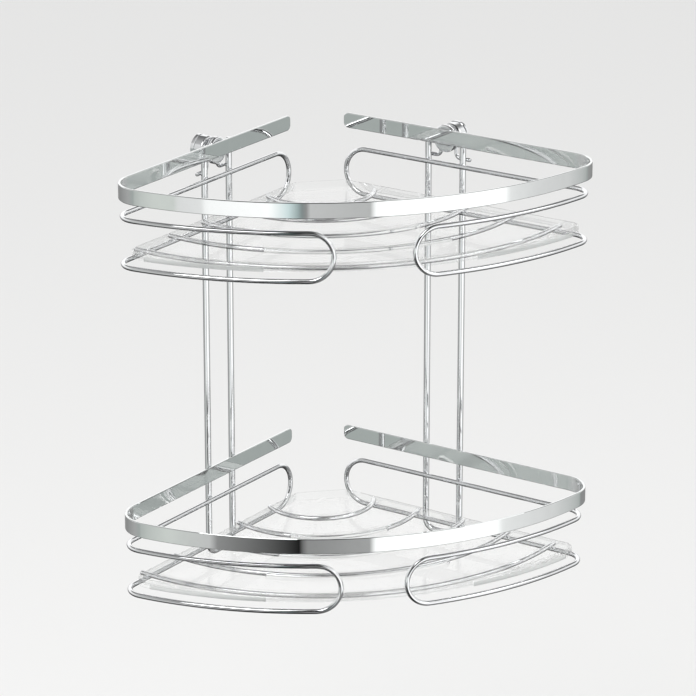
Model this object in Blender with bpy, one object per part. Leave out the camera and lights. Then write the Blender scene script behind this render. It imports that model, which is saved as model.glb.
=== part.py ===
"""Two-tier corner shower caddy in chromed steel with two clear trays.

Metres, +Z up. X runs across the corner, +Y points into the corner of the room.
The origin is the midpoint between the two wall fixings, on the height of their axes.
"""
import math

import bmesh
import bpy
from mathutils import Matrix, Vector

# ---- driving dimensions -------------------------------------------------
GAP = 0.0003                     # clearance between neighbours that touch or are welded

FIXING_ALONG = 0.144             # fixing axis from the corner of the room, along its wall
BASE_RADIUS = 0.0105             # turned base of a wall fixing
BASE_LENGTH = 0.011
BASE_FLOOR = 0.003               # metal left behind the screw head
BASE_BORE_RADIUS = 0.0045
SCREW_SHANK_RADIUS = 0.002
SCREW_HOLE_RADIUS = 0.0023
SCREW_HEAD_RADIUS = 0.004
SCREW_HEAD_HEIGHT = 0.0024
SCREW_HEAD_EDGE = 0.0014         # height of the head's rim, below its domed top
SCREW_HEAD_TOP_RADIUS = 0.0026
EDGE_BEVEL = 0.0008              # edges of the turned pieces
KNOB_RADIUS = 0.0107
KNOB_THICKNESS = 0.0046
KNOB_SPIGOT_RADIUS = 0.0042      # threaded end inside the base
KNOB_SPIGOT_DEPTH = 0.0045
NECK_RADIUS = 0.0045             # between base and knob, where the hook hangs
HOOK_PLAY = 0.0004               # between the hook and the faces on both sides of it

HOOK_WIRE = 0.0015               # radii of the three wires
LOOP_WIRE = 0.0019
ROD_WIRE = 0.0025

ROD_SPACING = 0.0315             # upright rods of one hanger, centre to centre
ROD_TOP = 0.007
ROD_BEND = 0.009                 # bend radius at the foot of a hanger
HOOK_BEND = 0.007                # radius of the hook over the neck
HOOK_FOOT_BEND = 0.004
HOOK_FOOT_Z = -0.0155
HOOK_STUB = 0.002                # hook wire past the outer rod

TIER_PITCH = 0.260
TIERS = {"upper": 0.0, "lower": -TIER_PITCH}
STRIP_Z = 0.002                  # middle of the upper strip
STRIP_HEIGHT = 0.012
STRIP_THICKNESS = 0.002
STRIP_END_RADIUS = 0.004
MID_WIRE_Z = -0.019
BOTTOM_WIRE_Z = -0.056
HANGER_FOOT_DROP = 0.010         # hanger foot below the lower bottom wire

STRIP_REACH = 0.288              # where a leg's line meets the front curve, from the corner
STRIP_FRONT = 0.298              # front of the strip from the corner, on the symmetry plane
STRIP_CORNER = 0.025
STRIP_START = 0.052
LOOP_REACH = 0.2807
LOOP_FRONT = 0.2843
LOOP_CORNER = 0.016
LOOP_START = 0.0545
LOOP_FRONT_GAP = {"upper": 0.060, "lower": 0.050}

SUPPORT_COUNT = 5                # arcs under a tray, evenly stepped
SUPPORT_FIRST_END = 0.081        # where the first arc crosses the wall side, from the corner
SUPPORT_END_STEP = 0.042
SUPPORT_FIRST_FRONT = 0.104      # front of the first arc, from the corner
SUPPORT_FRONT_STEP = 0.040
SUPPORT_OVERHANG = 0.0045        # end of an arc past the middle of the wire it is welded to

TRAY_WALL_GAP = 0.032
TRAY_INSET = 0.0028              # tray edge inside the middle of the loop wires
TRAY_HEIGHT = 0.007
TRAY_THICKNESS = 0.002
TRAY_CORNER = 0.009
TRAY_BACK = 0.066                # cut-off back edge, from the corner
TRAY_BACK_CORNER = 0.012
SLOT_WIDTH = 0.004
SLOT_HALF_ANGLE = math.radians(23)
SLOT_PIVOT = 0.050               # the slots are struck from this point, from the corner
SLOT_FRONTS = (0.151, 0.192, 0.234)

# ---- derived places -----------------------------------------------------
DIAGONAL = math.sqrt(0.5)
UP = Vector((0, 0, 1))
CORNER = Vector((0, FIXING_ALONG * DIAGONAL, 0))      # foot of the room's corner line

HOOK_OFF = BASE_LENGTH + HOOK_PLAY + HOOK_WIRE        # distances from the wall
ROD_OFF = HOOK_OFF + HOOK_WIRE + GAP + ROD_WIRE
WIRE_FACE = ROD_OFF + ROD_WIRE + GAP
STRIP_OFF = WIRE_FACE + STRIP_THICKNESS / 2
LOOP_OFF = WIRE_FACE + LOOP_WIRE
KNOB_BACK = HOOK_OFF + HOOK_WIRE + HOOK_PLAY
SUPPORT_Z = BOTTOM_WIRE_Z + 2 * LOOP_WIRE + GAP
TRAY_Z = SUPPORT_Z + LOOP_WIRE + GAP


# ---- plan geometry ------------------------------------------------------
def along(side):
    """Direction from the corner along the wall; side is -1 left, +1 right."""
    return Vector((side * DIAGONAL, -DIAGONAL, 0))


def inward(side):
    """Direction from the wall into the room."""
    return Vector((-side * DIAGONAL, -DIAGONAL, 0))


def at_wall(side, run, off, z=0.0):
    return CORNER + along(side) * run + inward(side) * off + UP * z


def mirrored(v):
    return Vector((-v.x, v.y, v.z))


class Rim:
    """Plan of a tier's rim: a leg beside each wall, a rounded corner and a bowed front."""

    def __init__(self, off, reach, front, corner):
        meet = at_wall(-1, reach, off) - CORNER
        span = (meet.x ** 2 + meet.y ** 2 - front ** 2) / (2 * (front + meet.y))
        self.front_centre = CORNER + Vector((0, span, 0))
        self.front_radius = span + front
        base = CORNER + inward(-1) * (off + corner) - self.front_centre
        lean = along(-1).dot(base)
        gap = base.dot(base) - (self.front_radius - corner) ** 2
        self.leg_end = -lean + math.sqrt(lean ** 2 - gap)
        self.corner_centre = at_wall(-1, self.leg_end, off + corner)
        out = (self.corner_centre - self.front_centre).normalized()
        self.turn = (-inward(-1)).angle(out)
        self.sweep = 2 * math.asin(-out.x)
        self.off = off
        self.corner = corner

    def front_angle(self, x):
        """Angle on the front curve, from the symmetry plane to distance x beside it."""
        return math.asin(x / self.front_radius)


def arc_through(end, front_y):
    """Centre and half angle of an arc from end to its mirror image through the front point."""
    centre_y = (end.x ** 2 + end.y ** 2 - front_y ** 2) / (2 * (end.y - front_y))
    radius = centre_y - front_y
    return Vector((0, centre_y, 0)), math.asin(abs(end.x) / radius)


# ---- bar bending --------------------------------------------------------
class Bar:
    """A bar of one cross-section, pushed straight and bent step by step."""

    def __init__(self, outline, start, heading):
        self.bm = bmesh.new()
        side = heading.cross(UP).normalized() if abs(heading.z) < 0.9 else Vector((1, 0, 0))
        rise = side.cross(heading)
        verts = [self.bm.verts.new(start + side * a + rise * b) for a, b in outline]
        self.first = self.face = self.bm.faces.new(verts)

    def straight(self, move):
        self._push()
        bmesh.ops.translate(self.bm, vec=move, verts=list(self.face.verts))

    def bend(self, centre, axis, angle, steps):
        turn = Matrix.Rotation(angle / steps, 3, axis)
        for _ in range(steps):
            self._push()
            bmesh.ops.rotate(self.bm, cent=centre, matrix=turn, verts=list(self.face.verts))

    def _push(self):
        """Extrude the last section in place and drop the face left inside the bar."""
        last = self.face
        out = bmesh.ops.extrude_face_region(self.bm, geom=[last])["geom"]
        self.face = next(g for g in out if isinstance(g, bmesh.types.BMFace))
        if last is not self.first:
            bmesh.ops.delete(self.bm, geom=[last], context="FACES_ONLY")

    def close(self):
        """Join the last section to the first one, which lies in the same place."""
        bmesh.ops.delete(self.bm, geom=[self.first, self.face], context="FACES_ONLY")
        bmesh.ops.remove_doubles(self.bm, verts=self.bm.verts, dist=1e-5)


def round_outline(radius, sides):
    turns = [2 * math.pi * (i + 0.5) / sides for i in range(sides)]
    return [(radius * math.cos(turn), radius * math.sin(turn)) for turn in turns]


def flat_outline(width, height):
    x, y = width / 2, height / 2
    return [(-x, -y), (x, -y), (x, y), (-x, y)]


# ---- objects and materials ----------------------------------------------
def material(name, colour, metallic, roughness, alpha=1.0):
    mat = bpy.data.materials.new(name)
    mat.use_nodes = True
    shader = mat.node_tree.nodes["Principled BSDF"]
    shader.inputs["Base Color"].default_value = (*colour, 1)
    shader.inputs["Metallic"].default_value = metallic
    shader.inputs["Roughness"].default_value = roughness
    shader.inputs["Alpha"].default_value = alpha
    return mat


def add_object(name, bm, mat, smooth=True):
    bmesh.ops.recalc_face_normals(bm, faces=bm.faces)
    mesh = bpy.data.meshes.new(name)
    bm.to_mesh(mesh)
    bm.free()
    if smooth:
        mesh.shade_smooth()
        mesh.set_sharp_from_angle(angle=math.radians(40))
    mesh.materials.append(mat)
    obj = bpy.data.objects.new(name, mesh)
    bpy.context.collection.objects.link(obj)
    return obj


def turned(name, mat, side, profile, sides=24):
    """Turn a closed (off wall, radius) profile about a fixing's axis."""
    bm = bmesh.new()
    axis = inward(side)
    spot = at_wall(side, FIXING_ALONG, 0)
    verts = [bm.verts.new(spot + axis * off + UP * radius) for off, radius in profile]
    edges = [bm.edges.new((verts[i], verts[i + 1])) for i in range(len(verts) - 1)]
    if profile[0][1] > 0:
        edges.append(bm.edges.new((verts[-1], verts[0])))
    bmesh.ops.spin(bm, geom=verts + edges, cent=spot, axis=axis, angle=2 * math.pi, steps=sides,
                   use_merge=True)
    bmesh.ops.remove_doubles(bm, verts=bm.verts, dist=1e-6)
    return add_object(name, bm, mat)


# ---- wall fixings -------------------------------------------------------
def wall_base(name, side, mat):
    turned(name, mat, side, [
        (0, SCREW_HOLE_RADIUS), (0, BASE_RADIUS), (BASE_LENGTH - EDGE_BEVEL, BASE_RADIUS),
        (BASE_LENGTH, BASE_RADIUS - EDGE_BEVEL), (BASE_LENGTH, BASE_BORE_RADIUS),
        (BASE_FLOOR, BASE_BORE_RADIUS), (BASE_FLOOR, SCREW_HOLE_RADIUS)])


def wall_screw(name, side, mat):
    head = BASE_FLOOR + GAP
    turned(name, mat, side, [
        (GAP, 0), (GAP, SCREW_SHANK_RADIUS), (head, SCREW_SHANK_RADIUS), (head, SCREW_HEAD_RADIUS),
        (head + SCREW_HEAD_EDGE, SCREW_HEAD_RADIUS), (head + SCREW_HEAD_HEIGHT, SCREW_HEAD_TOP_RADIUS),
        (head + SCREW_HEAD_HEIGHT, 0)], sides=16)


def knob(name, side, mat):
    front = KNOB_BACK + KNOB_THICKNESS
    turned(name, mat, side, [
        (BASE_LENGTH - KNOB_SPIGOT_DEPTH, 0), (BASE_LENGTH - KNOB_SPIGOT_DEPTH, KNOB_SPIGOT_RADIUS),
        (BASE_LENGTH + GAP, KNOB_SPIGOT_RADIUS), (BASE_LENGTH + GAP, NECK_RADIUS), (KNOB_BACK, NECK_RADIUS),
        (KNOB_BACK, KNOB_RADIUS - EDGE_BEVEL), (KNOB_BACK + EDGE_BEVEL, KNOB_RADIUS),
        (front - EDGE_BEVEL, KNOB_RADIUS), (front, KNOB_RADIUS - EDGE_BEVEL), (front, 0)])


# ---- frame --------------------------------------------------------------
def strip(name, drop, mat):
    rim = Rim(STRIP_OFF, STRIP_REACH, STRIP_FRONT, STRIP_CORNER)
    z = STRIP_Z + drop
    leg = rim.leg_end - STRIP_START
    outline = flat_outline(STRIP_THICKNESS, STRIP_HEIGHT)
    bar = Bar(outline, at_wall(-1, STRIP_START, STRIP_OFF, z), along(-1))
    bar.straight(along(-1) * leg)
    bar.bend(rim.corner_centre, UP, rim.turn, 5)
    bar.bend(rim.front_centre, UP, rim.sweep, 24)
    bar.bend(mirrored(rim.corner_centre), UP, rim.turn, 5)
    bar.straight(-along(1) * leg)
    ends = [at_wall(side, STRIP_START, STRIP_OFF, z) for side in (-1, 1)]
    tips = [e for e in bar.bm.edges if abs(e.verts[0].co.z - e.verts[1].co.z) < 1e-6
            and any((v.co - end).length < STRIP_HEIGHT for v in e.verts for end in ends)
            and e.calc_length() < 1.5 * STRIP_THICKNESS]
    bmesh.ops.bevel(bar.bm, geom=tips, offset=STRIP_END_RADIUS, affect="EDGES", segments=3, profile=0.5,
                    material=-1)
    add_object(name, bar.bm, mat)


def side_loop(name, side, tier, mat):
    """Closed loop of wire: along the wall, round the side corner, back above itself."""
    rim = Rim(LOOP_OFF, LOOP_REACH, LOOP_FRONT, LOOP_CORNER)
    drop = TIERS[tier]
    low, high = BOTTOM_WIRE_Z + drop, MID_WIRE_Z + drop
    end_radius = (high - low) / 2
    start_run = LOOP_START + end_radius
    leg = rim.leg_end - start_run
    gap_angle = rim.front_angle(LOOP_FRONT_GAP[tier] / 2 + end_radius)
    front_turn = rim.sweep / 2 - gap_angle
    start = at_wall(-1, start_run, LOOP_OFF, low)
    bar = Bar(round_outline(LOOP_WIRE, 8), start, along(-1))
    bar.straight(along(-1) * leg)
    bar.bend(rim.corner_centre, UP, rim.turn, 4)
    bar.bend(rim.front_centre, UP, front_turn, 8)
    nose = rim.front_centre + Matrix.Rotation(-gap_angle, 3, "Z") @ Vector((0, -rim.front_radius, 0))
    nose.z = (low + high) / 2
    across = Matrix.Rotation(-gap_angle, 3, "Z") @ Vector((0, -1, 0))
    bar.bend(nose, across, math.pi, 8)
    bar.bend(rim.front_centre, UP, -front_turn, 8)
    bar.bend(rim.corner_centre, UP, -rim.turn, 4)
    bar.straight(-along(-1) * leg)
    bar.bend(start + UP * end_radius, inward(-1), -math.pi, 8)
    bar.close()
    if side > 0:
        bmesh.ops.scale(bar.bm, vec=(-1, 1, 1), verts=bar.bm.verts)
    add_object(name, bar.bm, mat)


def support_arc(name, number, drop, mat):
    run = SUPPORT_FIRST_END + SUPPORT_END_STEP * number
    cross = at_wall(-1, run, LOOP_OFF)
    front_y = CORNER.y - SUPPORT_FIRST_FRONT - SUPPORT_FRONT_STEP * number
    centre, half = arc_through(cross, front_y)
    half += SUPPORT_OVERHANG / (cross - centre).length
    z = UP * (SUPPORT_Z + drop)
    start = centre + Matrix.Rotation(-half, 3, "Z") @ Vector((0, front_y - centre.y, 0)) + z
    heading = Matrix.Rotation(-half, 3, "Z") @ Vector((1, 0, 0))
    bar = Bar(round_outline(LOOP_WIRE, 8), start, heading)
    bar.bend(centre, UP, 2 * half, 10 + 2 * number)
    add_object(name, bar.bm, mat)


def hanger(name, side, mat):
    """One rod bent to a hairpin: down, across under the lower tier, and up again."""
    foot = BOTTOM_WIRE_Z + TIERS["lower"] - HANGER_FOOT_DROP
    bend = foot + ROD_BEND
    first, last = (FIXING_ALONG + s * ROD_SPACING / 2 for s in (-1, 1))
    bar = Bar(round_outline(ROD_WIRE, 12), at_wall(side, first, ROD_OFF, ROD_TOP), -UP)
    bar.straight(UP * (bend - ROD_TOP))
    bar.bend(at_wall(side, first + ROD_BEND, ROD_OFF, bend), inward(side), side * math.pi / 2, 4)
    bar.straight(along(side) * (last - first - 2 * ROD_BEND))
    bar.bend(at_wall(side, last - ROD_BEND, ROD_OFF, bend), inward(side), side * math.pi / 2, 4)
    bar.straight(UP * (ROD_TOP - bend))
    add_object(name, bar.bm, mat)


def hook(name, side, mat):
    """Wire over the neck of the fixing, its feet welded behind the two rods."""
    top = NECK_RADIUS + GAP + HOOK_WIRE - HOOK_BEND
    inner = FIXING_ALONG - HOOK_BEND
    outer = FIXING_ALONG + HOOK_BEND
    inner_end = FIXING_ALONG - ROD_SPACING / 2
    outer_end = FIXING_ALONG + ROD_SPACING / 2 + ROD_WIRE + HOOK_STUB
    knee = HOOK_FOOT_Z + HOOK_FOOT_BEND
    bar = Bar(round_outline(HOOK_WIRE, 8), at_wall(side, inner_end, HOOK_OFF, HOOK_FOOT_Z), along(side))
    bar.straight(along(side) * (inner - HOOK_FOOT_BEND - inner_end))
    bar.bend(at_wall(side, inner - HOOK_FOOT_BEND, HOOK_OFF, knee), inward(side), side * math.pi / 2, 4)
    bar.straight(UP * (top - knee))
    bar.bend(at_wall(side, FIXING_ALONG, HOOK_OFF, top), inward(side), -side * math.pi, 8)
    bar.straight(-UP * (top - knee))
    bar.bend(at_wall(side, outer + HOOK_FOOT_BEND, HOOK_OFF, knee), inward(side), side * math.pi / 2, 4)
    bar.straight(along(side) * (outer_end - outer - HOOK_FOOT_BEND))
    add_object(name, bar.bm, mat)


# ---- trays --------------------------------------------------------------
def arc_points(centre, start, angle, steps):
    arm = start - centre
    return [centre + Matrix.Rotation(angle * i / steps, 3, "Z") @ arm for i in range(steps + 1)]


def tray_outline():
    """Left half from the back edge round to the front, then its mirror image."""
    inset = TRAY_INSET
    rim = Rim(TRAY_WALL_GAP, LOOP_REACH - inset, LOOP_FRONT - inset, TRAY_CORNER)
    back_run = TRAY_BACK / DIAGONAL - TRAY_WALL_GAP      # where the wall side meets the back edge
    trim = TRAY_BACK_CORNER * math.tan(math.pi / 8)      # a 135 degree corner, rounded
    back_centre = at_wall(-1, back_run + trim, TRAY_WALL_GAP + TRAY_BACK_CORNER)
    back_start = back_centre + Vector((0, TRAY_BACK_CORNER, 0))
    half = arc_points(back_centre, back_start, math.pi / 4, 4)
    corner_start = at_wall(-1, rim.leg_end, TRAY_WALL_GAP)
    half += arc_points(rim.corner_centre, corner_start, rim.turn, 4)
    half += arc_points(rim.front_centre, half[-1], rim.sweep / 2, 10)[1:-1]
    middle = CORNER - Vector((0, LOOP_FRONT - inset, 0))
    return half + [middle] + [mirrored(p) for p in reversed(half)]


def slot_cutter(name, front, drop):
    pivot = CORNER - Vector((0, SLOT_PIVOT, 0))
    radius = front - SLOT_PIVOT
    z = UP * (TRAY_Z + drop)
    turn = Matrix.Rotation(-SLOT_HALF_ANGLE, 3, "Z")
    start = pivot + turn @ Vector((0, -radius, 0)) + z
    bar = Bar(flat_outline(SLOT_WIDTH, 4 * TRAY_THICKNESS), start, turn @ Vector((1, 0, 0)))
    bar.bend(pivot, UP, 2 * SLOT_HALF_ANGLE, 10)
    cutter = add_object(name, bar.bm, None, smooth=False)
    cutter.hide_render = True
    cutter.display_type = "WIRE"
    return cutter


def tray(name, drop, mat):
    """Moulded tray: a flat floor with drain slots and a low lip all round."""
    bm = bmesh.new()
    z = UP * (TRAY_Z + drop)
    floor = bm.faces.new([bm.verts.new(p + z) for p in tray_outline()])
    top = bmesh.ops.extrude_face_region(bm, geom=[floor])["geom"]
    top_face = next(g for g in top if isinstance(g, bmesh.types.BMFace))
    bmesh.ops.translate(bm, vec=UP * TRAY_HEIGHT, verts=list(top_face.verts))
    bmesh.ops.inset_region(bm, faces=[top_face], thickness=TRAY_THICKNESS, use_even_offset=True)
    bmesh.ops.translate(bm, vec=-UP * (TRAY_HEIGHT - TRAY_THICKNESS), verts=list(top_face.verts))
    obj = add_object(name, bm, mat)
    for number, front in enumerate(SLOT_FRONTS):
        cut = obj.modifiers.new(f"drain_slot_{number + 1}", "BOOLEAN")
        cut.operation = "DIFFERENCE"
        cut.solver = "EXACT"
        cut.object = slot_cutter(f"cutter_{name}_slot_{number + 1}", front, drop)


# ---- assembly -----------------------------------------------------------
def build():
    for obj in list(bpy.data.objects):
        bpy.data.objects.remove(obj, do_unlink=True)

    chrome = material("chrome", (0.80, 0.81, 0.82), 1.0, 0.08)
    steel = material("zinc_plated_steel", (0.62, 0.62, 0.60), 1.0, 0.35)
    clear = material("clear_plastic", (0.90, 0.93, 0.93), 0.0, 0.05, alpha=0.35)

    for side, hand in ((-1, "left"), (1, "right")):
        wall_base(f"{hand}_wall_base", side, chrome)
        wall_screw(f"{hand}_wall_screw", side, steel)
        knob(f"{hand}_knob", side, chrome)
        hanger(f"{hand}_hanger", side, chrome)
        hook(f"{hand}_hook", side, chrome)

    for tier, drop in TIERS.items():
        strip(f"{tier}_rail", drop, chrome)
        for side, hand in ((-1, "left"), (1, "right")):
            side_loop(f"{tier}_{hand}_loop", side, tier, chrome)
        for number in range(SUPPORT_COUNT):
            support_arc(f"{tier}_support_{number + 1}", number, drop, chrome)
        tray(f"{tier}_tray", drop, clear)


build()
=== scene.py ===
"""Looks of the corner shower caddy: chromed wire and strip, clear trays, turned wall fixings.

Everything is in metres, in the frame of the CAD model.
"""

import math

import bmesh
import bpy
from mathutils import Matrix, Vector


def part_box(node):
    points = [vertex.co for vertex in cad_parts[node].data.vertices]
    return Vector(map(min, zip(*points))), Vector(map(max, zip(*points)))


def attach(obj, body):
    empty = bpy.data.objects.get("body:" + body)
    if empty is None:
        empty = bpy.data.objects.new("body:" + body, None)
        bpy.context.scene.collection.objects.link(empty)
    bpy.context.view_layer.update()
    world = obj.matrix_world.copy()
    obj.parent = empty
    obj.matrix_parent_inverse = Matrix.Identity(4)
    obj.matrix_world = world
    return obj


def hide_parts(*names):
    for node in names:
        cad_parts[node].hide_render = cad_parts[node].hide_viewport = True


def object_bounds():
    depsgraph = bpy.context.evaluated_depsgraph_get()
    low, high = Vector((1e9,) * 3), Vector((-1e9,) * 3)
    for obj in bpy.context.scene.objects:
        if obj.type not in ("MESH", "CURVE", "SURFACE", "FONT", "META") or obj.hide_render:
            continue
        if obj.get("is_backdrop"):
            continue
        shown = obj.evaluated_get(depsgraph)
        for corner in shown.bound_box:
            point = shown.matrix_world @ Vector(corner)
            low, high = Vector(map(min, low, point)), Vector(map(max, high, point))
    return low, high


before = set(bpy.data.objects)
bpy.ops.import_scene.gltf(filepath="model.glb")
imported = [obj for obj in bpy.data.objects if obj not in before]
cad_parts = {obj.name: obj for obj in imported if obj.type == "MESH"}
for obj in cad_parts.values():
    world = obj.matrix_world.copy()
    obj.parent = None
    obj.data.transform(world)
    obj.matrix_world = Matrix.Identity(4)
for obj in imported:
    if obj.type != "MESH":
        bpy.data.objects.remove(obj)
cad_low, cad_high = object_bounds()

# ---- Floor, camera and light ---------------------------------------------------------------
# A plain pale floor, a long-lens camera a little left of the middle that looks down at the
# caddy, two large soft lights and a white room, whose grey and dark panels show in chrome only.
FLOOR_SIZE = 30.0
FLOOR_COLOUR = (0.80, 0.80, 0.795, 1)
FLOOR_DROP = 0.30                # the caddy hangs on its wall fixings, clear of the floor
CAMERA_PLACE = Vector((-0.501, -2.675, 0.755))
CAMERA_TURN = math.radians(10.92)
CAMERA_PITCH = math.radians(18.76)
CAMERA_LENS = 189.2
CAMERA_SENSOR = 36.0
LIT = (0, -0.05, -0.15)          # the middle of the caddy, which both lights face
ROOM_STRENGTH = 0.95


def node(tree, kind, **values):
    """Adds a shader node and sets its properties, and its inputs by name."""
    made = tree.nodes.new(kind)
    for name, value in values.items():
        if name in made.inputs:
            made.inputs[name].default_value = value
        else:
            setattr(made, name, value)
    return made


scene = bpy.context.scene
scene.view_settings.view_transform = "Standard"

floor_bm = bmesh.new()
bmesh.ops.create_circle(floor_bm, cap_ends=True, segments=96, radius=FLOOR_SIZE / 2)
bmesh.ops.translate(floor_bm, vec=(0, 0, cad_low.z - FLOOR_DROP), verts=floor_bm.verts)
floor_mesh = bpy.data.meshes.new("floor")
floor_bm.to_mesh(floor_mesh)
floor_bm.free()
floor = bpy.data.objects.new("floor", floor_mesh)
scene.collection.objects.link(floor)
floor.visible_glossy = False
floor_paint = bpy.data.materials.new("floor_paint")
floor_paint.use_nodes = True
floor_shader = floor_paint.node_tree.nodes["Principled BSDF"]
floor_shader.inputs["Base Color"].default_value = FLOOR_COLOUR
floor_shader.inputs["Roughness"].default_value = 0.9
floor_mesh.materials.append(floor_paint)
floor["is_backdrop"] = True

camera_data = bpy.data.cameras.new("camera")
camera_data.lens = CAMERA_LENS
camera_data.sensor_width = CAMERA_SENSOR
camera = bpy.data.objects.new("camera", camera_data)
scene.collection.objects.link(camera)
camera.location = CAMERA_PLACE
look = Vector((math.sin(CAMERA_TURN) * math.cos(CAMERA_PITCH),
               math.cos(CAMERA_TURN) * math.cos(CAMERA_PITCH), -math.sin(CAMERA_PITCH)))
camera.rotation_mode = "QUATERNION"
camera.rotation_quaternion = look.to_track_quat("-Z", "Y")
scene.camera = camera


def soft_light(name, place, size, watts):
    """A square light that faces the caddy."""
    data = bpy.data.lights.new(name, "AREA")
    data.shape = "SQUARE"
    data.size = size
    data.energy = watts
    light = bpy.data.objects.new(name, data)
    scene.collection.objects.link(light)
    light.location = place
    light.rotation_mode = "QUATERNION"
    light.rotation_quaternion = (Vector(LIT) - Vector(place)).to_track_quat("-Z", "Y")


soft_light("key_light", (-1.1, -1.3, 1.9), 1.4, 22)
soft_light("fill_light", (1.6, -0.9, 1.2), 1.2, 6)

room = bpy.data.worlds.new("room")
room.use_nodes = True
scene.world = room
tree = room.node_tree
tree.nodes.clear()
way = node(tree, "ShaderNodeTexCoord")
split = node(tree, "ShaderNodeSeparateXYZ")
tree.links.new(way.outputs["Generated"], split.inputs[0])
front = node(tree, "ShaderNodeMath", operation="MULTIPLY")
front.inputs[1].default_value = -1.0
tree.links.new(split.outputs["Y"], front.inputs[0])
turn = node(tree, "ShaderNodeMath", operation="ARCTAN2")
tree.links.new(split.outputs["X"], turn.inputs[0])
tree.links.new(front.outputs[0], turn.inputs[1])
around = node(tree, "ShaderNodeMapRange")
around.inputs["From Min"].default_value = -math.pi
around.inputs["From Max"].default_value = math.pi
tree.links.new(turn.outputs[0], around.inputs["Value"])
COLD = (0.73, 0.86, 0.87)
SLATE = (0.35, 0.43, 0.43)
PALE = (0.68, 0.71, 0.68)
STEEL = (0.40, 0.43, 0.42)
BEHIND = 179                     # degrees: each ring of panels starts and ends straight behind


def panels(*stops):
    """Panels round the room; stops are (degrees right of straight ahead, grey or colour)."""
    ramp = node(tree, "ShaderNodeValToRGB")
    elements = ramp.color_ramp.elements
    for degrees, tone in stops:
        element = elements.new(0.5 + degrees / 360)
        element.color = (*tone, 1) if isinstance(tone, tuple) else (tone, tone, tone, 1)
    elements.remove(elements[0])
    elements.remove(elements[-1])
    tree.links.new(around.outputs["Result"], ramp.inputs[0])
    return ramp.outputs["Color"]


def above(lower, upper, start, end):
    """Changes from one ring of panels to the next between two heights, from -1 (down) to 1 (up)."""
    height = node(tree, "ShaderNodeMapRange", interpolation_type="SMOOTHSTEP")
    height.inputs["From Min"].default_value = start
    height.inputs["From Max"].default_value = end
    tree.links.new(split.outputs["Z"], height.inputs["Value"])
    both = node(tree, "ShaderNodeMix", data_type="RGBA")
    tree.links.new(height.outputs["Result"], both.inputs["Factor"])
    tree.links.new(lower, both.inputs["A"])
    tree.links.new(upper, both.inputs["B"])
    return both.outputs["Result"]


# From underfoot to overhead. A strip on edge shows only low_ring and high_ring; wires show all.
ground = panels((-BEHIND, 0.01), (-110, 0.04), (-60, 0.22), (-42, 0.005), (5, 0.01), (15, 0.25),
                (70, 0.30), (110, 0.04), (BEHIND, 0.01))
low_ring = panels((-BEHIND, 0.35), (-150, 0.28), (-100, 0.42), (-80, STEEL), (-62, PALE), (-46, 0.60),
                  (-44, 0.30), (-15, 0.01), (-13.5, 0.30), (9, 0.42), (10.5, 1.4), (55, 1.3),
                  (58, 0.90), (80, 0.75), (100, STEEL), (106, 0.30), (150, 0.28), (BEHIND, 0.35))
high_ring = panels((-BEHIND, 0.35), (-150, 0.28), (-100, 0.42), (-80, STEEL), (-65, PALE),
                   (-57, PALE), (-56, 0.82), (-48, 0.85), (-46, 1.10), (-25, 1.20), (-18.6, COLD),
                   (-15, SLATE), (-13, 0.15), (-12, 0.62), (9, 0.54), (10.5, 1.4), (57, 1.4),
                   (58, 0.90), (70, 0.77), (85, 0.70), (100, STEEL), (110, 0.34), (150, 0.28),
                   (BEHIND, 0.35))
sky = panels((-BEHIND, 1.2), (-90, 0.9), (-55, 0.4), (-40, 0.01), (8, 0.01), (14, 1.1), (60, 0.9),
             (BEHIND, 1.2))
high_sky = panels((-BEHIND, 0.15), (-90, 0.50), (-55, 0.30), (-40, 0.01), (8, 0.01), (14, 0.70),
                  (60, 0.70), (110, 0.20), (BEHIND, 0.15))
zenith = panels((-BEHIND, 0.15), (-60, 0.02), (40, 0.08), (BEHIND, 0.15))
rings = above(ground, low_ring, -0.50, -0.42)
rings = above(rings, high_ring, -0.300, -0.288)
rings = above(rings, sky, -0.12, 0.0)
rings = above(rings, high_sky, 0.45, 0.60)
rings = above(rings, zenith, 0.85, 0.97)
mirrored_room = node(tree, "ShaderNodeBackground")
tree.links.new(rings, mirrored_room.inputs["Color"])
plain_room = node(tree, "ShaderNodeBackground", Color=(1, 1, 1, 1), Strength=ROOM_STRENGTH)
ray = node(tree, "ShaderNodeLightPath")
either = node(tree, "ShaderNodeMixShader")
tree.links.new(ray.outputs["Is Glossy Ray"], either.inputs["Fac"])
tree.links.new(plain_room.outputs[0], either.inputs[1])
tree.links.new(mirrored_room.outputs[0], either.inputs[2])
out = node(tree, "ShaderNodeOutputWorld")
tree.links.new(either.outputs[0], out.inputs["Surface"])

# ---- Rails ---------------------------------------------------------------------------------
# Each tier's rim is one flat steel strip on edge, bent round both side corners and bowed at the
# front, with rounded ends at the back. It is chromed bright, with the faint ripple of plating.
FIXING_RUN = 0.144               # the wall fixing's axis from the room's corner, along the wall
CORNER = Vector((0, FIXING_RUN * math.sqrt(0.5), 0))
UP = Vector((0, 0, 1))
STRIP_THICK = 0.002
STRIP_OFF = 0.0211               # middle of the strip off the wall
STRIP_BACK = 0.052               # its ends from the corner line, along the wall
STRIP_REACH, STRIP_FRONT, STRIP_CORNER = 0.288, 0.298, 0.025
STRIP_EDGE = 0.0005
STRIP_END = 0.004
FLAT = 12                        # degrees: a flat face stays flat beside its rounded edge


def along(side):
    """Away from the corner beside the wall: side is -1 on the left, 1 on the right."""
    return Vector((side * math.sqrt(0.5), -math.sqrt(0.5), 0))


def inward(side):
    """Square off the wall on that side."""
    return Vector((-side * math.sqrt(0.5), -math.sqrt(0.5), 0))


def at_wall(side, run, off, z=0.0):
    """A point so far along the wall from the corner, and so far off it."""
    return CORNER + along(side) * run + inward(side) * off + UP * z


def mirrored(point):
    """The same point on the other side of the caddy."""
    return Vector((-point.x, point.y, point.z))


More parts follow.
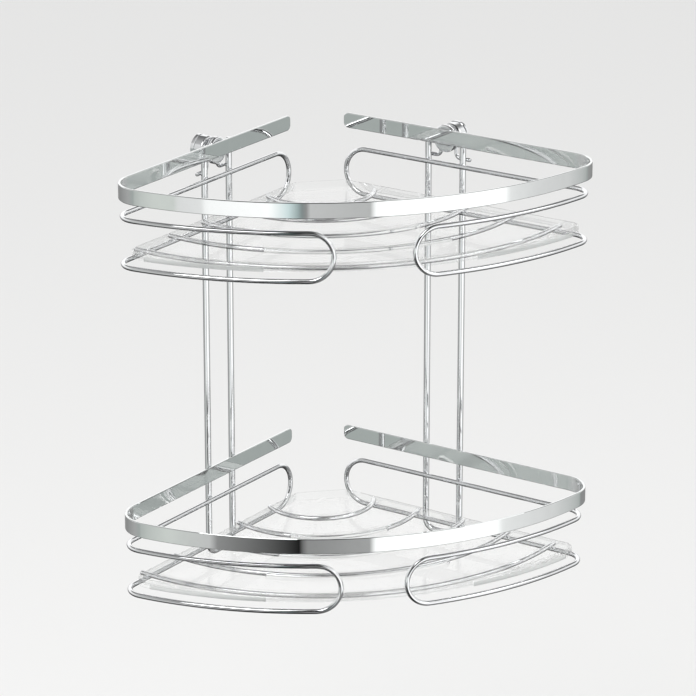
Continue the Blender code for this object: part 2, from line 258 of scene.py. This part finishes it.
def rim_plan(off, reach, front, corner):
    """Left leg, rounded side corner and bowed front, as centres, radii and angles."""
    meet = at_wall(-1, reach, off) - CORNER
    span = (meet.x ** 2 + meet.y ** 2 - front ** 2) / (2 * (front + meet.y))
    bow = CORNER + Vector((0, span, 0))
    radius = span + front
    base = CORNER + inward(-1) * (off + corner) - bow
    lean = along(-1).dot(base)
    leg_end = -lean + math.sqrt(lean ** 2 - base.dot(base) + (radius - corner) ** 2)
    hub = at_wall(-1, leg_end, off + corner)
    out = (hub - bow).normalized()
    return {"bow": bow, "radius": radius, "leg_end": leg_end, "hub": hub,
            "turn": (-inward(-1)).angle(out), "sweep": 2 * math.asin(-out.x)}


def push(bm, section, move):
    """Carries a bar's last section straight on."""
    made = bmesh.ops.extrude_face_region(bm, geom=[section, *section.edges, *section.verts])["geom"]
    section = next(g for g in made if isinstance(g, bmesh.types.BMFace))
    bmesh.ops.translate(bm, vec=move, verts=section.verts)
    return section


def bend(bm, section, centre, axis, angle, steps):
    """Carries it round a bend."""
    made = bmesh.ops.spin(bm, geom=[section, *section.edges, *section.verts], cent=centre, axis=axis,
                          angle=angle, steps=steps)["geom_last"]
    return next(g for g in made if isinstance(g, bmesh.types.BMFace))


def lay(bm, start, heading):
    """Turns what stands on XY along +Z to face along the heading, at the start."""
    side = Vector((1, 0, 0)) if heading.cross(UP).length < 0.1 else heading.cross(UP).normalized()
    facing = Matrix((side, side.cross(heading), -heading)).transposed().to_4x4()
    bmesh.ops.transform(bm, matrix=Matrix.Translation(start) @ facing, verts=bm.verts)


def finish_piece(name, bm, material, body, slot, *nodes, angle=FLAT):
    """Makes the object, rides it on its body and hides the CAD nodes it stands for."""
    bmesh.ops.recalc_face_normals(bm, faces=bm.faces)
    mesh = bpy.data.meshes.new(name)
    bm.to_mesh(mesh)
    bm.free()
    mesh.shade_smooth()
    mesh.set_sharp_from_angle(angle=math.radians(angle))
    mesh.materials.append(material)
    piece = bpy.data.objects.new(name, mesh)
    scene.collection.objects.link(piece)
    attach(piece, body)
    if nodes:
        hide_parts(*nodes)
    return piece


def chrome(name, tint, rough_low, rough_high, ripple, ripple_scale):
    """Bright plating: a slight tint, roughness in soft clouds and a very shallow ripple."""
    mat = bpy.data.materials.new(name)
    mat.use_nodes = True
    nodes = mat.node_tree
    shader = nodes.nodes["Principled BSDF"]
    shader.inputs["Metallic"].default_value = 1.0
    place = node(nodes, "ShaderNodeTexCoord")
    clouds = node(nodes, "ShaderNodeTexNoise", Scale=90.0, Detail=4.0, Roughness=0.6)
    nodes.links.new(place.outputs["Object"], clouds.inputs["Vector"])
    rough = node(nodes, "ShaderNodeMapRange")
    rough.inputs["From Min"].default_value = 0.35
    rough.inputs["From Max"].default_value = 0.70
    rough.inputs["To Min"].default_value = rough_low
    rough.inputs["To Max"].default_value = rough_high
    nodes.links.new(clouds.outputs["Fac"], rough.inputs["Value"])
    nodes.links.new(rough.outputs["Result"], shader.inputs["Roughness"])
    stain = node(nodes, "ShaderNodeValToRGB")
    stain.color_ramp.elements[0].position = 0.30
    stain.color_ramp.elements[0].color = (*[c * 0.97 for c in tint], 1)
    stain.color_ramp.elements[1].position = 0.62
    stain.color_ramp.elements[1].color = (*tint, 1)
    nodes.links.new(clouds.outputs["Fac"], stain.inputs[0])
    nodes.links.new(stain.outputs["Color"], shader.inputs["Base Color"])
    waves = node(nodes, "ShaderNodeTexNoise", Scale=ripple_scale, Detail=1.0)
    nodes.links.new(place.outputs["Object"], waves.inputs["Vector"])
    shallow = node(nodes, "ShaderNodeBump", Strength=ripple, Distance=0.001)
    nodes.links.new(waves.outputs["Fac"], shallow.inputs["Height"])
    nodes.links.new(shallow.outputs["Normal"], shader.inputs["Normal"])
    return mat


def square_ends(bm, height):
    """The two end faces of a strip bent from the corner of the room."""
    bm.normal_update()
    small = 1.1 * STRIP_THICK * height
    ends = [f for f in bm.faces if abs(f.normal.z) < 0.1 and f.calc_area() < small]
    return sorted(ends, key=lambda f: -f.calc_center_median().y)[:2]


def round_off(bm, edges, offset, segments):
    """Rounds edges of a solid."""
    bmesh.ops.bevel(bm, geom=edges, offset=offset, affect="EDGES", segments=segments, profile=0.5,
                    material=-1)


strip_chrome = chrome("strip_chrome", (0.85, 0.87, 0.865), 0.01, 0.04, 0.01, 30.0)
rail_plan = rim_plan(STRIP_OFF, STRIP_REACH, STRIP_FRONT, STRIP_CORNER)
for tier in ("upper", "lower"):
    low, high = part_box(f"{tier}_rail")
    height = high.z - low.z
    leg = rail_plan["leg_end"] - STRIP_BACK
    bm = bmesh.new()
    bmesh.ops.create_grid(bm, x_segments=1, y_segments=1, size=0.5)
    bmesh.ops.scale(bm, vec=(STRIP_THICK, height, 1), verts=bm.verts)
    lay(bm, at_wall(-1, STRIP_BACK, STRIP_OFF, (low.z + high.z) / 2), along(-1))
    bm.faces.ensure_lookup_table()
    section = push(bm, bm.faces[0], along(-1) * leg)
    section = bend(bm, section, rail_plan["hub"], UP, rail_plan["turn"], 18)
    section = bend(bm, section, rail_plan["bow"], UP, rail_plan["sweep"], 72)
    section = bend(bm, section, mirrored(rail_plan["hub"]), UP, rail_plan["turn"], 18)
    push(bm, section, -along(1) * leg)
    tips = [e for f in square_ends(bm, height) for e in f.edges if e.calc_length() < 2 * STRIP_THICK]
    round_off(bm, tips, STRIP_END, 8)
    round_off(bm, [e for e in bm.edges if e.calc_face_angle() > math.radians(60)], STRIP_EDGE, 3)
    finish_piece(f"{tier}_rim_strip", bm, strip_chrome, "frame", "chrome", f"{tier}_rail")

# ---- Loops ---------------------------------------------------------------------------------
# Below each side of a rim hangs one closed loop of round wire: beside the wall, round the side
# corner, along part of the front, and back above itself. It is welded to the two rods behind it.
LOOP_OFF = 0.022
LOOP_WIRE = 0.0019               # half the wire's thickness, as for every wire below
LOOP_START = 0.0545
LOOP_REACH, LOOP_FRONT, LOOP_CORNER = 0.2807, 0.2843, 0.016
SMOOTH = 40                      # degrees: round wire shades smooth up to its cut ends
FRONT_GAP = {"upper": 0.060, "lower": 0.050}
loop_chrome = chrome("loop_chrome", (0.86, 0.87, 0.88), 0.02, 0.06, 0.01, 70.0)
loop_plan = rim_plan(LOOP_OFF, LOOP_REACH, LOOP_FRONT, LOOP_CORNER)


def wire_section(bm, radius, sides, start, heading):
    """The first section of a round wire."""
    bmesh.ops.create_circle(bm, cap_ends=True, segments=sides, radius=radius)
    lay(bm, start, heading)
    bm.faces.ensure_lookup_table()
    return bm.faces[0]


def loop_heights(tier):
    """Middle heights of a tier's lower and upper loop wires."""
    low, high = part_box(f"{tier}_left_loop")
    return low.z + LOOP_WIRE, high.z - LOOP_WIRE


for tier in ("upper", "lower"):
    low_z, high_z = loop_heights(tier)
    half = (high_z - low_z) / 2
    run = LOOP_START + half
    leg = loop_plan["leg_end"] - run
    clear = math.asin((FRONT_GAP[tier] / 2 + half) / loop_plan["radius"])
    bow = loop_plan["sweep"] / 2 - clear
    ahead = Matrix.Rotation(-clear, 3, "Z") @ Vector((0, -1, 0))
    for side, hand in ((-1, "left"), (1, "right")):
        bm = bmesh.new()
        start = at_wall(-1, run, LOOP_OFF, low_z)
        first = wire_section(bm, LOOP_WIRE, 20, start, along(-1))
        section = push(bm, first, along(-1) * leg)
        section = bend(bm, section, loop_plan["hub"], UP, loop_plan["turn"], 14)
        section = bend(bm, section, loop_plan["bow"], UP, bow, 30)
        nose = loop_plan["bow"] + ahead * loop_plan["radius"]
        nose.z = (low_z + high_z) / 2
        section = bend(bm, section, nose, ahead, math.pi, 24)
        section = bend(bm, section, loop_plan["bow"], UP, -bow, 30)
        section = bend(bm, section, loop_plan["hub"], UP, -loop_plan["turn"], 14)
        section = push(bm, section, -along(-1) * leg)
        section = bend(bm, section, start + UP * half, inward(-1), -math.pi, 24)
        first = min((f for f in bm.faces if len(f.verts) > 4 and f is not section),
                    key=lambda f: (f.calc_center_median() - start).length)
        bmesh.ops.delete(bm, geom=[first, section], context="FACES_ONLY")
        bmesh.ops.remove_doubles(bm, verts=bm.verts, dist=0.00001)
        if side > 0:
            bmesh.ops.scale(bm, vec=(-1, 1, 1), verts=bm.verts)
        finish_piece(f"{tier}_{hand}_loop_wire", bm, loop_chrome, "frame", "chrome",
                     f"{tier}_{hand}_loop", angle=SMOOTH)

# ---- Tray supports -------------------------------------------------------------------------
# Five bowed wires lie across each pair of loops and carry the tray. They are cut off square a
# few millimetres past the loop wire, with the cut edge rounded, and spot-welded where they cross.
# Where each crosses the loops along the wall, and how far its bow is from the room's corner.
SUPPORT_REACH = [0.081 + 0.042 * i for i in range(5)]
SUPPORT_FRONT = [0.104 + 0.040 * i for i in range(5)]
SUPPORT_PAST = 0.0045
ROUND_END = 0.0012


def round_ends(bm, offset):
    """Rounds the rims of a bar's two end faces."""
    rims = {e for f in bm.faces if len(f.verts) > 4 for e in f.edges}
    round_off(bm, list(rims), offset, 4)


for tier in ("upper", "lower"):
    low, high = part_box(f"{tier}_support_1")
    z = (low.z + high.z) / 2
    for number, (reach, front) in enumerate(zip(SUPPORT_REACH, SUPPORT_FRONT), 1):
        cross = at_wall(-1, reach, LOOP_OFF)
        front_y = CORNER.y - front
        centre_y = (cross.x ** 2 + cross.y ** 2 - front_y ** 2) / (2 * (cross.y - front_y))
        centre = Vector((0, centre_y, 0))
        radius = centre.y - front_y
        half = math.asin(-cross.x / radius) + SUPPORT_PAST / radius
        swung = Matrix.Rotation(-half, 3, "Z")
        bm = bmesh.new()
        section = wire_section(bm, LOOP_WIRE, 16, centre + swung @ Vector((0, -radius, 0)) + UP * z,
                               swung @ Vector((1, 0, 0)))
        bend(bm, section, centre, UP, 2 * half, 40)
        round_ends(bm, ROUND_END)
        finish_piece(f"{tier}_support_wire_{number}", bm, loop_chrome, "frame", "chrome",
                     f"{tier}_support_{number}", angle=SMOOTH)

# ---- Hangers -------------------------------------------------------------------------------
# On each wall one thicker rod is bent to a long hairpin that carries both tiers: its two legs
# stand behind the rails and loops, and its foot shows just under the lower loops.
ROD_OFF = 0.0173
ROD_WIRE = 0.0025
ROD_BEND = 0.009
ROD_RUNS = (FIXING_RUN - 0.01575, FIXING_RUN + 0.01575)
rod_chrome = chrome("rod_chrome", (0.85, 0.86, 0.87), 0.02, 0.07, 0.012, 60.0)
for side, hand in ((-1, "left"), (1, "right")):
    low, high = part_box(f"{hand}_hanger")
    knee = low.z + ROD_WIRE + ROD_BEND
    first, last = ROD_RUNS
    bm = bmesh.new()
    section = wire_section(bm, ROD_WIRE, 24, at_wall(side, first, ROD_OFF, high.z), -UP)
    section = push(bm, section, UP * (knee - high.z))
    section = bend(bm, section, at_wall(side, first + ROD_BEND, ROD_OFF, knee), inward(side),
                   side * math.pi / 2, 12)
    section = push(bm, section, along(side) * (last - first - 2 * ROD_BEND))
    section = bend(bm, section, at_wall(side, last - ROD_BEND, ROD_OFF, knee), inward(side),
                   side * math.pi / 2, 12)
    push(bm, section, UP * (high.z - knee))
    round_ends(bm, ROUND_END)
    finish_piece(f"{hand}_hanger_rod", bm, rod_chrome, "frame", "chrome", f"{hand}_hanger",
                 angle=SMOOTH)

# ---- Hooks ---------------------------------------------------------------------------------
# A thin wire bent to a hook sits over the neck of each wall fixing. Its feet turn outwards and
# are welded to the backs of the two rods.
HOOK_OFF = 0.0129
HOOK_WIRE = 0.0015
HOOK_BEND = 0.007
FOOT_BEND = 0.004
FOOT_PAST = 0.002
FOOT_ROUND = 0.0007
for side, hand in ((-1, "left"), (1, "right")):
    low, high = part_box(f"{hand}_hook")
    foot = low.z + HOOK_WIRE
    knee = foot + FOOT_BEND
    crown = high.z - HOOK_WIRE - HOOK_BEND
    inner, outer = FIXING_RUN - HOOK_BEND, FIXING_RUN + HOOK_BEND
    stub = ROD_RUNS[1] + ROD_WIRE + FOOT_PAST
    bm = bmesh.new()
    section = wire_section(bm, HOOK_WIRE, 16, at_wall(side, ROD_RUNS[0], HOOK_OFF, foot), along(side))
    section = push(bm, section, along(side) * (inner - FOOT_BEND - ROD_RUNS[0]))
    section = bend(bm, section, at_wall(side, inner - FOOT_BEND, HOOK_OFF, knee), inward(side),
                   side * math.pi / 2, 10)
    section = push(bm, section, UP * (crown - knee))
    section = bend(bm, section, at_wall(side, FIXING_RUN, HOOK_OFF, crown), inward(side),
                   -side * math.pi, 24)
    section = push(bm, section, UP * (knee - crown))
    section = bend(bm, section, at_wall(side, outer + FOOT_BEND, HOOK_OFF, knee), inward(side),
                   side * math.pi / 2, 10)
    push(bm, section, along(side) * (stub - outer - FOOT_BEND))
    round_ends(bm, FOOT_ROUND)
    finish_piece(f"{hand}_hook_wire", bm, rod_chrome, "frame", "chrome", f"{hand}_hook", angle=SMOOTH)

# ---- Welds ---------------------------------------------------------------------------------
# Every crossing is resistance-welded before plating, which leaves a small chromed nugget
# between the two wires. Sizes are along the wall, off it and upwards from the nugget's middle.
SUPPORT_NUGGET = (0.0017, 0.0017, 0.0011)
LOOP_NUGGET = (0.0019, 0.0010, 0.0017)
STRIP_NUGGET = (0.0014, 0.0007, 0.0048)
HOOK_NUGGET = (0.0015, 0.0009, 0.0013)
weld_chrome = chrome("weld_chrome", (0.74, 0.75, 0.76), 0.10, 0.24, 0.25, 420.0)


def nugget(bm, side, run, off, z, size):
    """A squashed ball of weld metal, lined up with the wall on its side."""
    walls = Matrix((along(side), inward(side), UP)).transposed().to_4x4()
    shape = Matrix.Translation(at_wall(side, run, off, z)) @ walls @ Matrix.Diagonal((*size, 1))
    bmesh.ops.create_uvsphere(bm, u_segments=16, v_segments=10, radius=1.0, matrix=shape)


for tier in ("upper", "lower"):
    low_z, high_z = loop_heights(tier)
    low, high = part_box(f"{tier}_rail")
    rail_z = (low.z + high.z) / 2
    bm = bmesh.new()
    for side in (-1, 1):
        for reach in SUPPORT_REACH:
            nugget(bm, side, reach, LOOP_OFF, low_z + LOOP_WIRE, SUPPORT_NUGGET)
        for run in ROD_RUNS:
            for z in (low_z, high_z):
                nugget(bm, side, run, LOOP_OFF - LOOP_WIRE, z, LOOP_NUGGET)
            nugget(bm, side, run, STRIP_OFF - STRIP_THICK / 2, rail_z, STRIP_NUGGET)
    finish_piece(f"{tier}_weld_nuggets", bm, weld_chrome, "frame", "chrome", angle=SMOOTH)

bm = bmesh.new()
for side, hand in ((-1, "left"), (1, "right")):
    low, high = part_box(f"{hand}_hook")
    for run in ROD_RUNS:
        nugget(bm, side, run, HOOK_OFF + HOOK_WIRE, low.z + HOOK_WIRE, HOOK_NUGGET)
finish_piece("hook_weld_nuggets", bm, weld_chrome, "frame", "chrome", angle=SMOOTH)

# ---- Wall fixings --------------------------------------------------------------------------
# A turned, chromed base is screwed flat to each wall. A knob with a neck screws into its mouth;
# the caddy's hooks sit on the neck, and the knob's disc stops them from sliding off.
BASE_RADIUS = 0.0105
BASE_LONG = 0.011
BASE_STEP, BASE_GROOVE = 0.0004, 0.0003
BORE_RADIUS = 0.0045
BORE_FLOOR = 0.003
SCREW_HOLE = 0.0023
KNOB_RADIUS = 0.0107
KNOB_BACK, KNOB_FRONT = 0.0148, 0.0194   # its disc's two faces, off the wall
PLUG_RADIUS, PLUG_END = 0.0042, 0.0065   # the part inside the base
NECK_RADIUS, NECK_END = 0.0045, 0.0113
turned_chrome = chrome("turned_chrome", (0.84, 0.85, 0.86), 0.03, 0.09, 0.01, 50.0)


def turned(bm, side, profile):
    """Turns points, each off the wall and at a radius, about the fixing's axis."""
    spot = at_wall(side, FIXING_RUN, 0)
    verts = [bm.verts.new(spot + inward(side) * off + UP * radius) for off, radius in profile]
    edges = [bm.edges.new(pair) for pair in zip(verts, verts[1:])]
    bmesh.ops.spin(bm, geom=verts + edges, cent=spot, axis=inward(side), angle=2 * math.pi, steps=64,
                   use_merge=True)
    bmesh.ops.remove_doubles(bm, verts=bm.verts, dist=0.00001)


for side, hand in ((-1, "left"), (1, "right")):
    body = BASE_RADIUS - BASE_STEP
    bm = bmesh.new()
    turned(bm, side, [
        (0, SCREW_HOLE), (0, BASE_RADIUS - 0.0003), (0.0003, BASE_RADIUS), (0.0026, BASE_RADIUS),
        (0.0030, body), (0.0030, body - BASE_GROOVE), (0.0034, body - BASE_GROOVE), (0.0034, body),
        (BASE_LONG - 0.0014, body), (BASE_LONG - 0.0009, body - 0.0002),
        (BASE_LONG - 0.0004, body - 0.0006), (BASE_LONG - 0.0001, body - 0.0012),
        (BASE_LONG, body - 0.0020), (BASE_LONG, BORE_RADIUS + 0.0002),
        (BASE_LONG - 0.0002, BORE_RADIUS), (BORE_FLOOR, BORE_RADIUS), (BORE_FLOOR, SCREW_HOLE),
        (0, SCREW_HOLE)])
    finish_piece(f"{hand}_base_turned", bm, turned_chrome, "wall_fixings", "chrome",
                 f"{hand}_wall_base")

    bm = bmesh.new()
    turned(bm, side, [
        (PLUG_END, 0), (PLUG_END, PLUG_RADIUS - 0.0004), (PLUG_END + 0.0004, PLUG_RADIUS),
        (NECK_END, PLUG_RADIUS), (NECK_END, NECK_RADIUS), (KNOB_BACK, NECK_RADIUS),
        (KNOB_BACK, KNOB_RADIUS - 0.0010), (KNOB_BACK + 0.0002, KNOB_RADIUS - 0.0004),
        (KNOB_BACK + 0.0007, KNOB_RADIUS), (KNOB_BACK + 0.0021, KNOB_RADIUS),
        (KNOB_BACK + 0.0023, KNOB_RADIUS - 0.00025), (KNOB_BACK + 0.0025, KNOB_RADIUS),
        (KNOB_FRONT - 0.0010, KNOB_RADIUS), (KNOB_FRONT - 0.0004, KNOB_RADIUS - 0.0003),
        (KNOB_FRONT - 0.0001, KNOB_RADIUS - 0.0010), (KNOB_FRONT, KNOB_RADIUS - 0.0018),
        (KNOB_FRONT, KNOB_RADIUS - 0.0024), (KNOB_FRONT, 0)])
    finish_piece(f"{hand}_knob_turned", bm, turned_chrome, "wall_fixings", "chrome", f"{hand}_knob")

# ---- Wall screws ---------------------------------------------------------------------------
# One zinc-plated screw holds each base. It is hidden inside the base, under the knob, so the
# plain solid stays and only gets its dull plating.
zinc = chrome("zinc_plating", (0.60, 0.60, 0.57), 0.28, 0.45, 0.10, 900.0)
for hand in ("left", "right"):
    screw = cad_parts[f"{hand}_wall_screw"]
    screw.data.materials.clear()
    screw.data.materials.append(zinc)

# ---- Trays ---------------------------------------------------------------------------------
# Each tier has one loose tray, moulded in clear plastic: a flat floor with three bowed drain
# slots, a low rounded lip, and a frosted bead along the outer thirds of the front. It lies on
# the supports. The floor hardly shows, the lip a little more, and the edges of the slots most.
TRAY_GAP = 0.032
TRAY_INSET = 0.0028
TRAY_CORNER = 0.009
TRAY_BACK = 0.066
BACK_CORNER = 0.012
TRAY_THICK = 0.002
TRAY_EDGE = 0.0007
SLOT_FRONTS = (0.151, 0.192, 0.234)
SLOT_PIVOT = 0.050
SLOT_HALF = math.radians(23)
SLOT_WIDE = 0.004
BEAD_FROM = 0.080                # from the middle of the front
BEAD_SHORT = math.radians(1)     # it stops so far before the side corner
BEAD_PROUD = 0.0006
BEAD_TALL = 0.0036
tray_plan = rim_plan(TRAY_GAP, LOOP_REACH - TRAY_INSET, LOOP_FRONT - TRAY_INSET, TRAY_CORNER)


def clear_plastic(name, presence, tint=(0.97, 0.985, 0.98), clearness=1.0, rough_low=0.0,
                  rough_high=0.02):
    """Clear moulding, a little hazy, with soft flow marks; presence is how much of it shows."""
    mat = bpy.data.materials.new(name)
    mat.use_nodes = True
    nodes = mat.node_tree
    shader = nodes.nodes["Principled BSDF"]
    shader.inputs["Base Color"].default_value = (*tint, 1)
    shader.inputs["Transmission Weight"].default_value = clearness
    shader.inputs["Alpha"].default_value = presence
    shader.inputs["IOR"].default_value = 1.49
    place = node(nodes, "ShaderNodeTexCoord")
    haze = node(nodes, "ShaderNodeTexNoise", Scale=35.0, Detail=5.0)
    nodes.links.new(place.outputs["Object"], haze.inputs["Vector"])
    rough = node(nodes, "ShaderNodeMapRange")
    rough.inputs["To Min"].default_value = rough_low
    rough.inputs["To Max"].default_value = rough_high
    nodes.links.new(haze.outputs["Fac"], rough.inputs["Value"])
    nodes.links.new(rough.outputs["Result"], shader.inputs["Roughness"])
    flow = node(nodes, "ShaderNodeTexNoise", Scale=22.0, Detail=1.0)
    nodes.links.new(place.outputs["Object"], flow.inputs["Vector"])
    sink = node(nodes, "ShaderNodeBump", Strength=0.03, Distance=0.001)
    nodes.links.new(flow.outputs["Fac"], sink.inputs["Height"])
    nodes.links.new(sink.outputs["Normal"], shader.inputs["Normal"])
    return mat


TRAY_LOOKS = (clear_plastic("clear_floor", 0.10), clear_plastic("clear_lip", 0.24),
              clear_plastic("clear_edge", 0.75),
              clear_plastic("frosted_bead", 0.85, (0.58, 0.60, 0.59), 0.5, 0.25, 0.40))
FLOOR_LOOK, LIP_LOOK, SLOT_LOOK, BEAD_LOOK = range(4)


def walk(bm, corner_vert, move):
    """Carries an outline's last point straight on."""
    made = bmesh.ops.extrude_vert_indiv(bm, verts=[corner_vert])["verts"][0]
    bmesh.ops.translate(bm, vec=move, verts=[made])
    return made


def swing(bm, corner_vert, centre, angle, steps):
    """Carries it round an arc in plan."""
    made = bmesh.ops.spin(bm, geom=[corner_vert], cent=centre, axis=UP, angle=angle, steps=steps)
    return next(g for g in made["geom_last"] if isinstance(g, bmesh.types.BMVert))


def combined(bm, tools, operation):
    """Joins tools to a solid or cuts them out of it, and returns the new bmesh."""
    meshes = []
    for n, source in enumerate([bm, *tools]):
        bmesh.ops.recalc_face_normals(source, faces=source.faces)
        mesh = bpy.data.meshes.new(f"work_{n}")
        source.to_mesh(mesh)
        source.free()
        for look in TRAY_LOOKS:
            mesh.materials.append(look)
        meshes.append(mesh)
    solid, *cutters = [bpy.data.objects.new(mesh.name, mesh) for mesh in meshes]
    for piece in (solid, *cutters):
        scene.collection.objects.link(piece)
    for cutter in cutters:
        step = solid.modifiers.new(cutter.name, "BOOLEAN")
        step.operation = operation
        step.object = cutter
    shaped = solid.evaluated_get(bpy.context.evaluated_depsgraph_get())
    result = bmesh.new()
    result.from_mesh(shaped.data)
    for piece in (solid, *cutters):
        bpy.data.objects.remove(piece)
    for mesh in meshes:
        bpy.data.meshes.remove(mesh)
    return result


def tray_shell(z, tall):
    """Floor and lip, with rounded edges, which take the lip's look."""
    back_run = TRAY_BACK / math.sqrt(0.5) - TRAY_GAP
    trim = BACK_CORNER * math.tan(math.pi / 8)
    back_hub = at_wall(-1, back_run + trim, TRAY_GAP + BACK_CORNER, z)
    bm = bmesh.new()
    first = bm.verts.new(Vector((0, back_hub.y + BACK_CORNER, z)))
    point = walk(bm, first, Vector((back_hub.x, 0, 0)))
    point = swing(bm, point, back_hub, math.pi / 4, 8)
    leg = tray_plan["leg_end"] - back_run - trim
    point = walk(bm, point, along(-1) * leg)
    point = swing(bm, point, tray_plan["hub"], tray_plan["turn"], 14)
    point = swing(bm, point, tray_plan["bow"], tray_plan["sweep"], 72)
    point = swing(bm, point, mirrored(tray_plan["hub"]), tray_plan["turn"], 14)
    point = walk(bm, point, -along(1) * leg)
    point = swing(bm, point, mirrored(back_hub), math.pi / 4, 8)
    bm.edges.new((point, first))
    bmesh.ops.contextual_create(bm, geom=bm.edges[:])
    bm.faces.ensure_lookup_table()
    top = push(bm, bm.faces[0], UP * TRAY_THICK)
    ring = bmesh.ops.inset_region(bm, faces=[top], thickness=TRAY_THICK, use_even_offset=True)
    edges = {e for f in ring["faces"] for e in f.edges}
    verts = {v for f in ring["faces"] for v in f.verts}
    lip = bmesh.ops.extrude_face_region(bm, geom=[*ring["faces"], *edges, *verts])["geom"]
    bmesh.ops.translate(bm, vec=UP * (tall - TRAY_THICK),
                        verts=[g for g in lip if isinstance(g, bmesh.types.BMVert)])
    bmesh.ops.recalc_face_normals(bm, faces=bm.faces)
    sharp = [e for e in bm.edges if e.is_manifold and e.calc_face_angle() > math.radians(60)]
    round_off(bm, sharp, TRAY_EDGE, 3)
    bm.normal_update()
    for face in bm.faces:
        if face.calc_center_median().z > z + 1.2 * TRAY_THICK or abs(face.normal.z) < 0.95:
            face.material_index = LIP_LOOK
    return bm


def bead_bar(z, side):
    """The bead on one outer third of the front, half sunk in the lip."""
    from_angle = math.asin(BEAD_FROM / tray_plan["radius"])
    to_angle = tray_plan["sweep"] / 2 - BEAD_SHORT
    swung = Matrix.Rotation(side * from_angle, 3, "Z")
    start = tray_plan["bow"] + swung @ Vector((0, -tray_plan["radius"], 0)) + UP * (z + BEAD_TALL / 2)
    bead = bmesh.new()
    bmesh.ops.create_circle(bead, cap_ends=True, segments=16, radius=0.5)
    bmesh.ops.scale(bead, vec=(2 * BEAD_PROUD, BEAD_TALL, 1), verts=bead.verts)
    lay(bead, start, swung @ Vector((side, 0, 0)))
    bead.faces.ensure_lookup_table()
    bend(bead, bead.faces[0], tray_plan["bow"], UP, side * (to_angle - from_angle), 30)
    for face in bead.faces:
        face.material_index = BEAD_LOOK
    return bead


def slot_cutter(z, front):
    """A bowed bar with round ends, through the floor."""
    pivot = CORNER - Vector((0, SLOT_PIVOT, 0))
    swung = Matrix.Rotation(-SLOT_HALF, 3, "Z")
    slot = bmesh.new()
    bmesh.ops.create_grid(slot, x_segments=1, y_segments=1, size=0.5)
    bmesh.ops.scale(slot, vec=(SLOT_WIDE, 3 * TRAY_THICK, 1), verts=slot.verts)
    lay(slot, pivot + swung @ Vector((0, SLOT_PIVOT - front, 0)) + UP * z, swung @ Vector((1, 0, 0)))
    slot.faces.ensure_lookup_table()
    bend(slot, slot.faces[0], pivot, UP, 2 * SLOT_HALF, 24)
    uprights = [e for e in slot.edges if abs(e.verts[0].co.z - e.verts[1].co.z) > TRAY_THICK
                and e.calc_face_angle() > math.radians(60)]
    round_off(slot, uprights, 0.49 * SLOT_WIDE, 6)  # under half, so that each end keeps a face
    for face in slot.faces:
        face.material_index = SLOT_LOOK
    return slot


for tier in ("upper", "lower"):
    low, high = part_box(f"{tier}_tray")
    bm = tray_shell(low.z, high.z - low.z)
    bm = combined(bm, [bead_bar(low.z, side) for side in (-1, 1)], "UNION")
    bm = combined(bm, [slot_cutter(low.z, front) for front in SLOT_FRONTS], "DIFFERENCE")
    tray = finish_piece(f"{tier}_tray_moulding", bm, TRAY_LOOKS[FLOOR_LOOK], f"{tier}_tray",
                        "clear_plastic", f"{tier}_tray")
    for look in TRAY_LOOKS[LIP_LOOK:]:
        tray.data.materials.append(look)

# ---- Closing the file ----------------------------------------------------------------------
# The finished model's box is found, in metres, like the CAD model's box at the start.
low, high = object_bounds()
